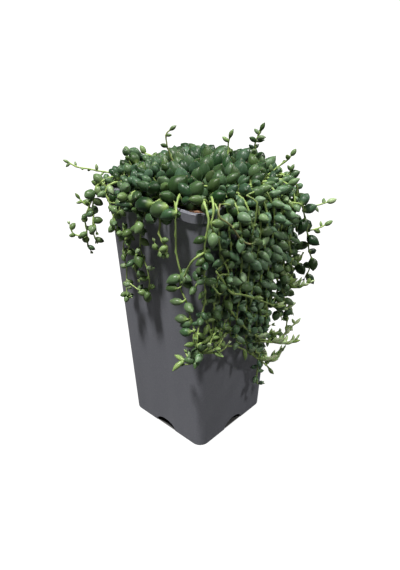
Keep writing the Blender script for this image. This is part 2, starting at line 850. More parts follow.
def stem_mesh(stems: Sequence[Stem], sides: int = 7) -> BMesh:
    """The mesh of some stems, each with its own strip of the bake map."""
    tissue = Tissue(sides)
    for number, stem in enumerate(stems):
        cell = Cell(0, number / len(stems), 1, 1 / len(stems))
        count = len(stem.radii)
        looks = [
            Growth(
                stem.root.first + (stem.tip.first - stem.root.first) * index / count,
                stem.root.second + (stem.tip.second - stem.root.second) * index / count,
            )
            for index in range(count)
        ]
        tissue.draw(stem.line, stem.radii, looks, cell)
    return tissue.finished()


# ---------------------------------------------------------------- the plant's plan


class Tip(Enum):
    """How a shoot ends."""

    BUD = "a small bud"
    FEATHER = "slender young leaves close together on its upper side"
    LEAF = "one leaf"


@dataclass(frozen=True)
class Shoot:
    """A stem and what grows on it.

    route holds the corners of its smooth line. bare is the length from its root with no leaves, leaf the
    length of a leaf, plump a leaf's width as a share of its length, and pitch the step from leaf to leaf. tufts
    says how many more leaves grow together, and at what heights.
    lime, bloom and fresh set the leaves' looks, green and old the stem's. thick is the stem's radius.
    """

    route: tuple[tuple[float, float, float], ...]
    bare: float = 1
    leaf: float = 7.5
    plump: float = 0.66
    pitch: float = 5
    tip: Tip = Tip.BUD
    shape: LeafShape = LeafShape.BEAD
    lime: float = 0.12
    bloom: float = 0.25
    fresh: float = 0.45
    green: float = 0.1
    old: float = 0.0
    thick: float = 0.5
    tufts: tuple[tuple[float, int], ...] = ()
    twigs: tuple["Shoot", ...] = ()


def hanging(heading: float, drop: float, off: float = 4, sway: float = 0, bare: float = 18, **looks: object) -> Shoot:
    """A shoot that grows from the mix, leans out over the rim and hangs.

    Args:
        heading: Where it crosses the rim.
        drop: How far below the rim its tip hangs.
        off: Its distance from the wall.
        sway: How far it drifts towards a greater heading.
        bare: The length of stem with no leaves.
        looks: The rest of the shoot's fields.

    Returns:
        The shoot, with its route laid.
    """
    rim = rim_point(heading) / MM
    away = outward(rim)
    aside = Vector((-away.y, away.x, 0))
    top = POT_HEIGHT / MM
    crest = 1.6 + 0.25 * off
    route = [
        rim * 0.66 + UP * (MIX_TOP / MM + 2.5),
        rim * 0.86 + UP * (top + crest),
        rim + away * off * 0.5 + UP * (top + crest * 0.6),
    ]
    for share in (0.12, 0.35, 0.6, 0.82, 1.0):
        wave = 1.3 * math.sin(math.radians(3 * heading) + 7 * share)
        drift = aside * (sway * share**1.5 + wave)
        route.append(rim + away * off * (1 - 0.2 * share) + UP * (top - drop * share) + drift)
    route.append(route[-1] + away * 3 + aside * 1.5)
    return Shoot(tuple(tuple(point) for point in route), bare=bare, **looks)


def curtain(heading: float, drop: float, off: float, sway: float, twigs: tuple[Shoot, ...] = ()) -> Shoot:
    """One strand of the curtain, with hanging's first arguments and the twigs that it carries."""
    return hanging(
        heading, drop, off, sway, bare=16, leaf=7.2, plump=0.58, pitch=3.5, bloom=0.95, fresh=0.6,
        shape=LeafShape.TEAR, twigs=twigs,
    )


def rim_leaf(*places: object) -> Shoot:
    """One large leaf on a short twig: the corners of the twig's route, then the leaf's length."""
    return Shoot(
        places[:-1], bare=30, pitch=3.8, leaf=places[-1], plump=0.6, tip=Tip.LEAF, lime=0.05, bloom=0.1, fresh=0.6,
        shape=LeafShape.TEAR,
    )


def rising(
    heading: float, root: float, reach: float, top: float, arch: float = 14, twist: float = 0, **looks: object
) -> Shoot:
    """A shoot that climbs from the mix, leans over and ends free.

    Args:
        heading: Where it grows from, round the axis.
        root: Its root's distance from the axis.
        reach: Its tip's distance from the axis.
        top: Its tip's height.
        arch: How far it climbs before it leans over.
        twist: How far its tip's heading is on from its root's.
        looks: The rest of the shoot's fields.

    Returns:
        The shoot, with its route laid.
    """
    base = heading_vector(heading) * root + UP * (MIX_TOP / MM + 2.5)
    tip = heading_vector(heading + twist) * reach + UP * top
    bends = base, base.lerp(tip, 0.25) + UP * arch, base.lerp(tip, 0.8) + UP * arch * 0.4, tip
    return Shoot(tuple(tuple(point) for point in geometry.interpolate_bezier(*bends, 6)), **looks)


# The shoots that stand for the CAD's, by its node names.
SHOOTS: dict[str, Shoot] = {
    # Over the corner between -X and -Y: a bunch that hangs clear of the pot.
    "trail_left_corner_1": Shoot(
        ((-22, -18, 147), (-30, -25, 153), (-36, -28, 152), (-38, -32, 149), (-41, -37, 144), (-43, -40, 137),
        (-45, -42, 129), (-45, -42, 121), (-48, -45, 120), (-51, -47, 121), (-52, -48, 127)), bare=24, leaf=5.6,
        pitch=4, lime=0.3, thick=0.6,
        twigs=(
            Shoot(
                ((-43, -40, 137), (-45, -42, 139), (-47, -44, 143)), bare=2, leaf=4.5, plump=0.45, pitch=2.5,
                tip=Tip.LEAF, lime=0.4, thick=0.45,
            ),
            Shoot(((-45, -42, 121), (-45, -42, 114), (-44, -41, 110)), leaf=5.4, pitch=3.4, bloom=0.3),
        ),
    ),
    "trail_left_corner_2": Shoot(
        ((-20, -22, 147), (-28, -30, 154), (-33, -35, 153), (-36, -39, 149), (-37, -41, 142), (-38, -41, 134),
        (-39, -42, 125), (-38, -41, 118)), bare=20, leaf=6.6, pitch=4.2, lime=0.25, thick=0.55,
        twigs=(
            Shoot(((-38, -41, 134), (-36, -43, 131), (-34, -43, 125)), leaf=6, pitch=3, lime=0.2),
        ),
    ),
    "trail_left_corner_3": Shoot(
        ((-18, -24, 147), (-23, -32, 153), (-26, -38, 152), (-27, -40, 148), (-25, -40, 145), (-24, -40, 140)),
        bare=16, leaf=5.5, pitch=3.5, lime=0.3, bloom=0.4, thick=0.55,
        twigs=(
            Shoot(
                ((-24, -40, 140), (-20, -41, 136), (-18, -41, 131), (-18, -40, 125)), bare=2, leaf=5, pitch=2.6,
                lime=0.2, bloom=0.5,
            ),
        ),
    ),
    "trail_left_corner_4": hanging(-149, 30, 7, 2, bare=24, leaf=4.6, pitch=6, thick=0.55),
    # Down the -Y face.
    "trail_left_face_1": Shoot(
        ((-8, -24, 147), (-8, -34, 152), (-9, -39, 151), (-13, -42, 146), (-14, -42, 142), (-20, -41, 138),
        (-22, -41, 133), (-19, -41, 129), (-14, -41, 130), (-13, -41, 134)), bare=14, leaf=5.5, pitch=3.6,
        lime=0.35, bloom=0.5, thick=0.55,
    ),
    "trail_left_face_2": Shoot(
        ((6, -24, 147), (5, -34, 152), (4, -39, 150), (1, -41, 144), (-1, -42, 140), (-8, -41, 131),
        (-15, -40, 124), (-17, -39, 116), (-17, -38, 107), (-18, -38, 98), (-17, -39, 91), (-13, -40, 92)), bare=34,
        leaf=5.2, pitch=9, lime=0.3, thick=0.42, tufts=((132, 3), (118, 2), (97, 2), (92, 3)),
        twigs=(
            Shoot(((-8, -41, 131), (-9, -41, 126), (-12, -40, 119)), bare=2, leaf=5, pitch=4, lime=0.3, thick=0.45),
        ),
    ),
    "trail_left_face_3": Shoot(
        ((12, -24, 147), (10, -34, 152), (8, -39, 150), (5, -41, 146), (2, -42, 140), (0, -41, 134), (-2, -40, 124),
        (-1, -39, 118), (2, -39, 111), (1, -38, 103), (-1, -38, 98), (-7, -39, 98), (-14, -40, 101)), bare=16,
        leaf=6.4, pitch=6, shape=LeafShape.TEAR, lime=0.25, thick=0.44, tufts=((138, 3), (99, 4)),
        twigs=(
            Shoot(
                ((-2, -40, 124), (-5, -41, 119), (-6, -41, 112), (-4, -41, 106)), plump=0.55, pitch=2.6,
                shape=LeafShape.TEAR, lime=0.2,
            ),
        ),
    ),
    "trail_left_face_4": Shoot(
        ((17, -24, 147), (15, -34, 152), (14, -39, 151), (15, -41, 146), (16, -43, 139), (18, -43, 135),
        (20, -42, 132), (18, -42, 128), (13, -42, 129), (11, -42, 133)), bare=30, leaf=4.6, pitch=2.4, lime=0.4,
        old=0.1, thick=0.6, tufts=((129, 4),),
        twigs=(
            rim_leaf((14, -39, 151), (21, -42, 153), (19.5, -42.4, 152.2), 12),
            rim_leaf((12, -36, 152), (11, -42, 152), (9, -42.4, 151.3), 12),
            rim_leaf((20, -36, 153), (27, -42, 151.5), (26, -42.5, 150.9), 10),
        ),
    ),
    # Round the corner between +X and -Y.
    "trail_front_corner_1": Shoot(
        ((14, -20, 147), (17, -28, 154), (20, -33, 156), (23, -38, 153), (25, -41, 149), (26, -42, 145),
        (26, -42, 140), (25, -41, 132), (26, -41, 126), (27, -40, 119), (26, -40, 112), (29, -39, 105),
        (32, -39, 96), (35, -39, 90), (36, -39, 82), (38, -38, 77), (37, -40, 74), (33, -41, 70), (28, -41, 67)),
        bare=72, leaf=8, plump=0.6, pitch=9, shape=LeafShape.TEAR, lime=0.1, tufts=((119, 5), (82, 4), (74, 3)),
        twigs=(
            rim_leaf((27, -40, 113), (26.5, -41.5, 112.4), (25, -42, 111.8), 8),
            rim_leaf((29, -39, 106), (29, -41, 105.6), (27.5, -41.6, 105.2), 8),
            rim_leaf((32, -39, 97), (31.5, -41, 96.4), (30, -41.6, 96), 7.5),
            rim_leaf((35, -39, 91), (34.5, -41, 90.5), (33, -41.6, 90), 7.5),
            Shoot(
                ((38, -38, 78), (42, -37, 82), (42, -34, 87), (42, -30, 89)), leaf=5.4, plump=0.38, pitch=2,
                lime=0.55, bloom=0.1,
            ),
            Shoot(
                ((38, -38, 78), (42, -35, 79), (43, -31, 80), (43, -26, 84)), leaf=5.4, plump=0.4, pitch=2,
                lime=0.45, bloom=0.1,
            ),
            Shoot(
                ((38, -39, 78), (42, -33, 77), (43, -28, 76), (43, -22, 78)), leaf=5.4, plump=0.38, pitch=2,
                lime=0.55, bloom=0.1,
            ),
            Shoot(((36, -39, 82), (37, -42, 86), (37, -42, 92)), leaf=5.6, plump=0.5, pitch=2.4, lime=0.25),
            Shoot(((35, -40, 76), (33, -42, 74), (31, -42, 77)), leaf=5.4, plump=0.5, pitch=2.4, lime=0.25),
            Shoot(
                ((33, -41, 70), (30, -41, 70), (27, -41, 70)), leaf=8, plump=0.34, pitch=4, tip=Tip.LEAF, lime=0.6,
                bloom=0,
            ),
        ),
    ),
    "trail_front_corner_2": Shoot(
        ((26, -18, 147), (31, -27, 154), (36, -34, 157), (40, -36, 154), (42, -37, 149), (41, -38, 141),
        (41, -39, 135), (42, -39, 128), (40, -38, 122), (40, -37, 111), (39, -38, 102), (39, -41, 93),
        (40, -43, 86)), bare=36, leaf=6.8, plump=0.6, pitch=5.6, shape=LeafShape.TEAR,
        tufts=((157, 2), (134, 6), (122, 4), (100, 3)),
        twigs=(
            Shoot(
                ((41, -39, 135), (43, -43, 136), (40, -45, 133), (35, -44, 126), (31, -43, 118)), bare=20, leaf=6,
                pitch=6, lime=0.15, thick=0.52,
            ),
            Shoot(
                ((40, -37, 122), (37, -39, 118), (35, -40, 114)), bare=3, leaf=8, plump=0.6, pitch=3,
                shape=LeafShape.TEAR, lime=0.1,
            ),
            Shoot(
                ((39, -38, 100), (40, -34, 92), (40, -33, 84), (39, -36, 78)), leaf=6, plump=0.4, pitch=2.4,
                shape=LeafShape.SPEAR, lime=0.6, bloom=0.1,
            ),
            Shoot(
                ((40, -33, 84), (41, -28, 80), (41, -25, 86), (41, -23, 91)), leaf=6, plump=0.42, pitch=2.4,
                shape=LeafShape.SPEAR, lime=0.5, bloom=0.1,
            ),
        ),
    ),
    "trail_front_corner_3": Shoot(
        ((27, -16, 147), (34, -26, 156), (41, -33, 157), (43, -35, 153), (43, -36, 147), (43, -31, 138),
        (43, -28, 128), (44, -25, 122), (45, -27, 115), (45, -32, 112), (45, -37, 118)), bare=30, leaf=7, plump=0.6,
        shape=LeafShape.TEAR, thick=0.52, tufts=((148, 3), (116, 3)),
        twigs=(
            Shoot(
                ((42, -30, 120), (41, -31, 108), (40, -31, 96), (40, -32, 84)), bare=2, leaf=7, plump=0.6,
                pitch=3.2, shape=LeafShape.TEAR, lime=0.1, bloom=0.4,
            ),
            Shoot(
                ((43, -24, 120), (42, -25, 106), (41, -27, 94), (41, -26, 82)), bare=2, leaf=7, plump=0.6,
                pitch=3.2, shape=LeafShape.TEAR, lime=0.08, bloom=0.5,
            ),
        ),
    ),
    # The curtain down the +X face: a strand near the wall and one in front of it, side by side.
    "trail_right_face_1": curtain(-30, 66, 5, 3, twigs=(
        curtain(-36, 62, 3.5, 1),
        curtain(-26, 74, 9.5, 2),
        Shoot(
            ((43, -33, 124), (45, -29, 117), (47, -26, 111), (48, -18, 107), (48, -7, 100), (46, 8, 90),
            (44, 18, 82), (46, 25, 79), (48, 30, 81)), bare=8, leaf=6, plump=0.4, pitch=17, tip=Tip.FEATHER,
            lime=0.6, thick=0.55,
        ),
    )),
    "trail_right_face_2": curtain(-21, 72, 4, -2, twigs=(
        curtain(-17, 60, 10, 2),
        Shoot(
            ((46, -34, 158), (48, -37, 154), (50, -31, 148), (51, -26, 141), (51, -20, 136), (51, -16, 135)),
            bare=12, leaf=4.5, plump=0.5, pitch=7, lime=0.1, green=0.4, old=0.7, thick=0.4,
        ),
    )),
    "trail_right_face_3": curtain(-12, 80, 6, 3, twigs=(
        curtain(-8, 72, 10.5, -2),
        Shoot(
            ((41, -22, 100), (43, -18, 93), (45, -13, 85), (46, -6, 78), (46, 1, 71), (44, 12, 63), (46, 20, 58),
            (51, 28, 57), (53, 30, 61)), bare=10, leaf=6, plump=0.4, pitch=17, tip=Tip.FEATHER, lime=0.6,
            thick=0.55,
        ),
        Shoot(
            ((46, 20, 58), (46, 27, 62), (48, 35, 67)), bare=2, leaf=5.6, plump=0.42, pitch=2.4, tip=Tip.LEAF,
            lime=0.75, bloom=0.1, fresh=1,
        ),
        Shoot(((44, 12, 63), (45, 17, 65), (46, 20, 67)), bare=2, leaf=6, plump=0.5, pitch=2.4, lime=0.35),
    )),
    "trail_right_face_4": curtain(-3, 88, 4, 0, twigs=(
        curtain(1, 66, 10, 2),
        Shoot(
            ((38, -35, 80), (39, -33, 77), (40, -26, 76), (41, -16, 72), (41, -9, 67), (41, 0, 59), (39, 10, 49),
            (40, 19, 43), (43, 24, 44), (46, 27, 52)), bare=4, leaf=6, plump=0.4, pitch=12, tip=Tip.FEATHER,
            lime=0.65, thick=0.55,
        ),
        Shoot(((39, 10, 49), (42, 15, 43), (43, 19, 37)), bare=2, leaf=6, plump=0.5, pitch=2.4, lime=0.35),
    )),
    "trail_right_face_5": curtain(7, 92, 6.5, -1, twigs=(
        curtain(9, 74, 10.5, 2),
        Shoot(
            ((47, -17, 158), (50, -14, 155), (51, -14, 151), (50, -14, 143), (48, -13, 136)), bare=14, leaf=5,
            green=0.5, old=0.1, thick=0.4,
        ),
    )),
    "trail_right_face_6": curtain(15, 84, 5, 3, twigs=(
        curtain(18, 62, 10.5, -2),
    )),
    "trail_right_face_7": curtain(19, 118, 4, -4, twigs=(
        curtain(24, 64, 9, 2),
    )),
    "trail_right_face_8": curtain(29, 52, 6, 2, twigs=(
        curtain(33, 40, 10.5, 2),
    )),
    "trail_right_face_9": Shoot(
        ((26, 16, 147), (36, 17, 153), (43, 19, 147), (43, 21, 142), (43, 23, 135), (43, 24, 126), (43, 24, 112),
        (43, 25, 97), (44, 27, 93), (48, 32, 91), (54, 38, 95)), bare=20, leaf=7.2, pitch=6, tip=Tip.FEATHER,
        lime=0.4, thick=0.55,
        twigs=(
            curtain(38, 48, 4, 2),
            Shoot(
                ((43, 24, 126), (46, 24, 118), (46, 26, 110), (46, 28, 104)), bare=2, leaf=6.6, pitch=3.4,
                lime=0.15, bloom=0.4,
            ),
            Shoot(
                ((43, 24, 112), (46, 19, 100), (46, 22, 88), (47, 28, 80), (47, 31, 74)), bare=6, leaf=6.4, pitch=3,
                lime=0.15, bloom=0.4,
            ),
            Shoot(
                ((43, 25, 97), (44, 15, 88), (45, 18, 81), (46, 22, 74)), bare=8, leaf=6.4, pitch=3, lime=0.15,
                bloom=0.4,
            ),
        ),
    ),
    # Off the corner between +X and +Y.
    "trail_right_corner_1": curtain(43, 46, 7, 3, twigs=(
        curtain(47, 30, 3, 2),
    )),
    "trail_right_corner_2": curtain(51, 62, 5, 2, twigs=(
        Shoot(
            ((46, 22, 144), (50, 25, 143), (49, 31, 135), (50, 34, 124), (50, 37, 114), (50, 41, 106), (49, 41, 99),
            (47, 40, 93)), bare=4, leaf=9, plump=0.6, shape=LeafShape.TEAR, lime=0.05, bloom=0.05, fresh=0.1,
        ),
        Shoot(((42, 28, 80), (44, 30, 71), (44, 30, 59)), bare=2, leaf=6.5, lime=0.3),
    )),
    "trail_right_corner_3": curtain(60, 50, 6, 2, twigs=(
        Shoot(((42, 45, 107), (39, 42, 97), (37, 40, 89), (35, 38, 78), (35, 38, 72)), leaf=8, pitch=4.6),
    )),
    # The far sides.
    **{
        f"trail_back_{side}_{number}": hanging(*place, thick=0.55)
        for side, places in (
            ("right", ((72, 70, 4, 3), (86, 40, 6, -3), (101, 82, 4, 2), (116, 48, 6, 0))),
            ("left", ((133, 60, 6, 2), (152, 34, 4, 3), (168, 74, 6, -3), (184, 44, 4, 2), (201, 62, 5, 2))),
        )
        for number, place in enumerate(places, 1)
    },
    # Tips that stand free of the mound.
    "sprig_1": Shoot(
        ((-16, -18, 147), (-26, -22, 154), (-34, -25, 153), (-39, -28, 154), (-43, -32, 155), (-47, -35, 156),
        (-50, -39, 157), (-55, -43, 160)), bare=24, leaf=4.4, plump=0.42, pitch=4.6, tip=Tip.LEAF, lime=0.45,
    ),
    "sprig_2": Shoot(
        ((-13, -11, 147), (-22, -14, 152), (-26, -18, 154), (-29, -20, 158), (-31, -22, 165)), bare=10, leaf=4.6,
        pitch=3.4, tip=Tip.LEAF, lime=0.2, thick=0.55,
        twigs=(
            Shoot(
                ((-30, -21, 161), (-33, -19, 163), (-35, -18, 165)), leaf=4.4, pitch=3, tip=Tip.LEAF, lime=0.2,
                thick=0.4,
            ),
        ),
    ),
    "sprig_3": Shoot(
        ((-9, 3, 147), (-14, -2, 158), (-16, -4, 164), (-17, -5, 170), (-17, -5, 174), (-14, -3, 177)), bare=16,
        leaf=4.8, plump=0.42, pitch=5.5, tip=Tip.LEAF, lime=0.3, old=0.4, thick=0.45,
    ),
    "sprig_4": Shoot(
        ((6, 7, 147), (3, 18, 156), (3, 22, 163), (3, 22, 168), (4, 23, 172)), bare=20, leaf=5.6, plump=0.5,
        tip=Tip.LEAF, lime=0.4, thick=0.45,
    ),
    "sprig_5": Shoot(
        ((12, 12, 147), (17, 24, 155), (17, 27, 161), (17, 27, 167), (18, 28, 172), (20, 29, 177)), bare=12,
        leaf=5.4, plump=0.45, pitch=2.6, tip=Tip.LEAF, lime=0.2, thick=0.6, tufts=((164, 2), (169, 2), (174, 1)),
    ),
    "sprig_6": Shoot(
        ((20, 18, 147), (26, 24, 152), (31, 29, 158), (35, 32, 162), (37, 34, 166)), bare=10, leaf=4.6, plump=0.5,
        pitch=3.4, tip=Tip.LEAF, lime=0.3,
        twigs=(
            Shoot(
                ((33, 26, 150), (37, 29, 153), (39, 31, 159)), bare=4, leaf=4.4, plump=0.5, pitch=4, tip=Tip.LEAF,
                lime=0.4, thick=0.4,
            ),
        ),
    ),
    "sprig_7": Shoot(
        ((20, 25, 147), (30, 32, 153), (35, 37, 152), (38, 39, 147), (40, 39, 140), (43, 40, 136), (47, 42, 137),
        (50, 44, 138), (54, 48, 140)), bare=42, leaf=5.6, plump=0.5, tip=Tip.LEAF, lime=0.35,
    ),
    "sprig_8": Shoot(
        ((24, 19, 147), (36, 27, 153), (42, 30, 146), (42, 32, 130), (45, 36, 124), (51, 42, 125), (55, 46, 128)),
        bare=36, leaf=5.2, plump=0.5, pitch=4.6, tip=Tip.LEAF, lime=0.35,
    ),
    "sprig_9": rising(176, 20, 48, 157, 8, bare=12, leaf=6, pitch=4, lime=0.3),
}
for ring_root, ring_count, ring_first, ring_reach, ring_twist in ((6, 4, 10, 17, 75), (16, 7, 30, 25, 45)):
    for ring_index in range(ring_count):
        SHOOTS[f"crown_shoot_{len([n for n in SHOOTS if n.startswith('crown')]) + 1}"] = rising(
            ring_first + 360 * ring_index / ring_count, ring_root, ring_reach, 151 + 2 * (ring_index % 3), 5,
            ring_twist, pitch=3.6, thick=0.55,
        )


def smooth_route(corners: Sequence[Sequence[float]], step: float) -> list[Vector]:
    """Evenly spaced points on a smooth curve through the corners.

    Args:
        corners: The corners, in millimetres.
        step: The distance from point to point, in metres.

    Returns:
        The points, in metres.
    """
    places = [Vector(corner) * MM for corner in corners]
    ends = [2 * places[0] - places[1], *places, 2 * places[-1] - places[-2]]
    fine = []
    for before, start, end, after in zip(ends, ends[1:], ends[2:], ends[3:]):
        handles = start + (end - before) / 6, end - (after - start) / 6
        fine += geometry.interpolate_bezier(start, *handles, end, 12)[:-1]
    fine.append(places[-1])
    far = [0.0, *itertools.accumulate((b - a).length for a, b in zip(fine, fine[1:]))]
    count = max(3, round(far[-1] / step))
    route = []
    for index in range(count + 1):
        goal = far[-1] * index / count
        place = min(next((i for i, f in enumerate(far) if f >= goal), len(far) - 1), len(far) - 1)
        start = max(place - 1, 0)
        share = (goal - far[start]) / max(far[place] - far[start], 1e-9)
        route.append(fine[start].lerp(fine[place], share))
    return route


def any_way(rng: random.Random) -> Vector:
    """A direction, drawn at random, of any length up to the corner of a cube."""
    return Vector([rng.uniform(-1, 1) for _ in range(3)])


class Crowd:
    """The space that leaves and stems already fill, as balls that each belong to one owner."""

    def __init__(self, most: int = 30000) -> None:
        """Start with no balls and room for that many."""
        self.centres = np.zeros((most, 3))
        self.radii = np.zeros(most)
        self.owners = np.zeros(most, int)
        self.count = 0

    def add(self, balls: Sequence[tuple[Vector, float]], owner: int) -> None:
        """Fill the space of some balls, each a centre and a radius."""
        for centre, radius in balls:
            self.centres[self.count] = centre
            self.radii[self.count] = radius
            self.owners[self.count] = owner
            self.count += 1

    def free(self, balls: Sequence[tuple[Vector, float]], owner: int, give: float) -> bool:
        """Whether balls are clear of the pot and of all that grows.

        Args:
            balls: The balls.
            owner: Who asks: its own stem may be closer.
            give: How deep two leaves may press together.

        Returns:
            True if they are clear.
        """
        centres, radii = self.centres[: self.count], self.radii[: self.count]
        own = self.owners[: self.count] == owner
        for centre, radius in balls:
            if not has_room(centre, radius * 0.8):
                return False
            gaps = np.linalg.norm(centres - np.array(centre), axis=1) - radii - radius
            if (gaps[~own] < -give).any() or (gaps[own] < -give - 0.5 * MM).any():
                return False
        return True


@dataclass(frozen=True)
class Patch:
    """A stretch of the mound whose leaves are alike. Its middle and its leaves' length are in millimetres."""

    x: float
    y: float
    leaf: float
    plump: float
    lime: float = 0.04
    bloom: float = 0.2
    fresh: float = 0.4


@dataclass
class Canopy:
    """The leaves that cover the mound, laid on a low dome that spills over the rim.

    Its crown is this high and its edge this high, and spill says how far past the rim it reaches at each
    heading, in millimetres. Each crest lifts it, with its middle, its radius and its height. No leaf grows with
    its middle under lowest, or in the clearings, each a ball with its middle and its radius.
    """

    crown: float = 160
    edge: float = 152
    crowding: float = 0.54
    droop: float = 7
    lowest: float = 143.5
    crests: tuple[Four, ...] = ((13, 34, 15, 6), (-34, -13, 9, 7), (-6, 18, 12, 2))
    layers: tuple[float, ...] = (0, -4.5, -9)
    clearings: tuple[Four, ...] = ((34, -34, 149, 5.5), (27, -34, 149, 4))
    spill: tuple[tuple[float, float], ...] = (
        (-175, 8), (-150, 6), (-140, 5), (-131, 4), (-124, 4), (-116, 5), (-108, 8), (-96, 9), (-75, 9), (-62, 7),
        (-53, 2), (-45, -1), (-38, 1), (-30, 7), (-10, 10), (15, 9), (28, 7), (40, 3.5), (50, 3), (62, 4), (85, 8),
        (140, 7),
    )
    patches: tuple[Patch, ...] = (
        Patch(-12, -26, 6.8, 0.64, 0.03, 0.26, 0.2),
        Patch(-30, -30, 6.8, 0.66, 0.05, 0.28, 0.3),
        Patch(-40, -8, 7.4, 0.68, 0.05, 0.2, 0.35),
        Patch(2, -40, 10.5, 0.56, 0.05, 0.1, 0.4),
        Patch(18, -37, 12.5, 0.54, 0.1, 0.03, 0.65),
        Patch(12, -24, 11, 0.62, 0.04, 0.1, 0.3),
        Patch(31, -27, 10.5, 0.68, 0.03, 0.08, 0.4),
        Patch(16, -12, 11.4, 0.68, 0.03, 0.1, 0.35),
        Patch(-7, 10, 10.6, 0.68, 0.05, 0.12, 0.4),
        Patch(28, 2, 11, 0.66, 0.03, 0.08, 0.4),
        Patch(43, -20, 13, 0.66, 0.05, 0.03, 0.6),
        Patch(38, -6, 8.4, 0.6, 0.05, 0.3, 0.3),
        Patch(42, 14, 9.2, 0.6, 0.06, 0.2, 0.3),
        Patch(21, 36, 10, 0.62, 0.06, 0.2, 0.35),
        Patch(7, 27, 11, 0.66, 0.05, 0.12, 0.4),
        Patch(-27, 15, 10, 0.72, 0.03, 0.2, 0.3),
    )

    def surface(self, x: float, y: float) -> Vector | None:
        """The dome's point over a place, in millimetres, or None past its edge."""
        place = Vector((x, y, 0))
        headings, spills = zip(*self.spill)
        limit = TOP_WIDTH / 2 / MM + float(np.interp(math.degrees(math.atan2(y, x)), headings, spills, period=360))
        share = square_reach(place) / limit
        if share > 1:
            return None
        bump = 3 * noise.noise(place / 11)
        height = self.edge + (self.crown - self.edge) * math.sqrt(max(0, 1 - share**2.4)) + bump
        for middle_x, middle_y, radius, rise in self.crests:
            height += rise * max(0, 1 - math.hypot(x - middle_x, y - middle_y) / radius)
        drop = max(0, share - 0.84) / 0.16
        return Vector((x, y, height - self.droop * drop**2))

    def patch(self, x: float, y: float) -> Patch:
        """The patch that a place belongs to."""
        return min(self.patches, key=lambda patch: math.hypot(patch.x - x, patch.y - y))


